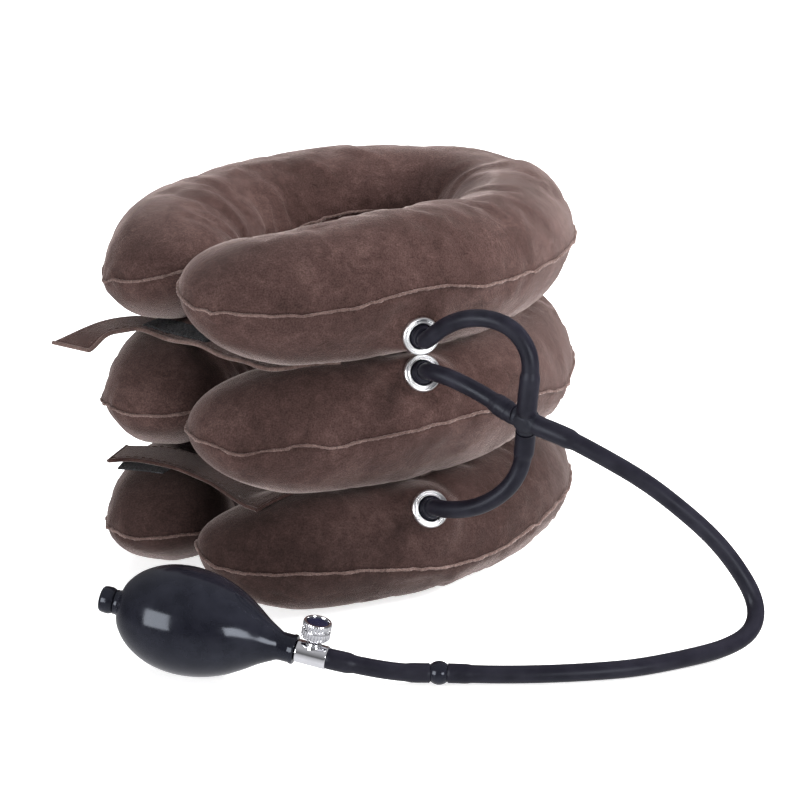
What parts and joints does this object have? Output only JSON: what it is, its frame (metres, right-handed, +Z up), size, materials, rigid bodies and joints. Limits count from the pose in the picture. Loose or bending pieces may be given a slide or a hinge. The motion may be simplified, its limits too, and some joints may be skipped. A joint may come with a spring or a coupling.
{
  "type": "cervical traction device",
  "caption": "Inflatable neck traction collar of stacked C-shaped air rings in velvet covers, with rubber tubes, a cross fitting, a hand bulb and a screw release valve.",
  "frame": {"origin": "on the surface that the collar stands on, under the middle of the box around everything but the tubes and their fittings", "axes": "+Z up, +Y from the hand bulb towards the back of the neck, +X to the right as seen from the bulb's side"},
  "size_m": [0.3419, 0.3552, 0.1857],
  "materials": {
    "velvet": "short-pile brown velvet",
    "cloth": "plain woven backing",
    "hook": "black hook-and-loop",
    "bladder": "smooth welded air bladder",
    "rubber": "satin black rubber",
    "gloss_rubber": "glossy black rubber",
    "fitting": "moulded dark grey plastic",
    "chrome": "bright chrome plate",
    "steel": "plain steel"
  },
  "bodies": {
    "root": {"cover_bottom": "velvet", "bladder_bottom": "bladder", "bulb": "gloss_rubber", "inlet_valve_plug": "gloss_rubber", "valve_body": "chrome", "bulb_hose": "rubber", "inline_coupling": "fitting", "main_hose": "rubber"},
    "middle_ring": {"cover_middle": "velvet", "bladder_middle": "bladder", "joining_band_lower": "cloth", "strap_lower": "velvet"},
    "top_ring": {"cover_top": "velvet", "bladder_top": "bladder", "joining_band_upper": "cloth", "strap_upper": "velvet", "hook_patch_upper": "hook"},
    "tube_cross": {"cross_fitting": "fitting", "branch_tube_top": "rubber", "branch_tube_middle": "rubber", "branch_tube_bottom": "rubber"},
    "bottom_port": {"eyelet_bottom": "chrome", "eyelet_washer_bottom": "steel", "port_bottom": "rubber"},
    "middle_port": {"eyelet_middle": "chrome", "eyelet_washer_middle": "steel", "port_middle": "rubber"},
    "top_port": {"eyelet_top": "chrome", "eyelet_washer_top": "steel", "port_top": "rubber"},
    "upper_strap_tip": {"strap_upper_tip": "velvet"},
    "lower_strap_tip": {"strap_lower_tip": "velvet"},
    "inlet_disc": {"inlet_valve_disc": "fitting"},
    "outlet_disc": {"outlet_valve_disc": "fitting"},
    "valve_stem": {"release_needle": "steel"},
    "valve_knob": {"release_knob": "chrome", "knob_insert": "fitting"}
  },
  "joints": [
    {"name": "deflate", "type": "slide", "parent": "root", "child": "middle_ring", "axis": [0, 0, -1], "range_m": [0, 0.014], "stiffness_N_per_m": 3000, "deforming": ["cover_bottom", "bladder_bottom"]},
    {"name": "deflate_top", "type": "slide", "parent": "middle_ring", "child": "top_ring", "axis": [0, 0, -1], "range_m": [0, 0.0141], "deforming": ["cover_middle", "bladder_middle", "cover_top", "bladder_top"]},
    {"name": "cross_drop", "type": "slide", "parent": "root", "child": "tube_cross", "axis": [0, 0, -1], "range_m": [0, 0.0211], "deforming": ["main_hose"]},
    {"name": "bottom_port_drop", "type": "slide", "parent": "tube_cross", "child": "bottom_port", "axis": [0, 0, 1], "range_m": [0, 0.0094], "deforming": ["branch_tube_bottom"]},
    {"name": "middle_port_drop", "type": "slide", "parent": "tube_cross", "child": "middle_port", "axis": [0, 0, -1], "range_m": [0, 0.0061], "deforming": ["branch_tube_middle"]},
    {"name": "top_port_drop", "type": "slide", "parent": "tube_cross", "child": "top_port", "axis": [0, 0, -1], "range_m": [0, 0.0102], "deforming": ["branch_tube_top"]},
    {"name": "upper_strap_lift", "type": "hinge", "parent": "top_ring", "child": "upper_strap_tip", "pos_m": [-0.08638, 0.00903, 0.1195], "axis": [0.4459, 0.8917, 0.0775], "range_deg": [-20, 30], "stiffness_Nm_per_rad": 0.01},
    {"name": "lower_strap_lift", "type": "hinge", "parent": "middle_ring", "child": "lower_strap_tip", "pos_m": [-0.08518, -0.00907, 0.053], "axis": [0.3456, 0.9343, 0.0879], "range_deg": [0, 14], "stiffness_Nm_per_rad": 0.01},
    {"name": "inlet_valve_lift", "type": "slide", "parent": "root", "child": "inlet_disc", "axis": [0.9572, -0.214, -0.195], "range_m": [0, 0.0014]},
    {"name": "outlet_valve_lift", "type": "slide", "parent": "root", "child": "outlet_disc", "axis": [0.9572, -0.214, -0.195], "range_m": [0, 0.003]},
    {"name": "stem_rise", "type": "slide", "parent": "root", "child": "valve_stem", "axis": [0.1706, -0.1275, 0.9771], "range_m": [0, 0.0011]},
    {"name": "release_screw", "type": "hinge", "parent": "valve_stem", "child": "valve_knob", "pos_m": [0.00124, -0.16485, 0.01392], "axis": [0.1706, -0.1275, 0.9771], "range_deg": [0, 540]}
  ],
  "couplings": [
    {"joint": "deflate_top", "follows": "deflate", "ratio": 1},
    {"joint": "cross_drop", "follows": "deflate", "ratio": 1.5},
    {"joint": "bottom_port_drop", "follows": "deflate", "ratio": 0.664},
    {"joint": "middle_port_drop", "follows": "deflate", "ratio": 0.43},
    {"joint": "top_port_drop", "follows": "deflate", "ratio": 0.72},
    {"joint": "stem_rise", "follows": "release_screw", "m_per_rad": 0.0001114}
  ]
}
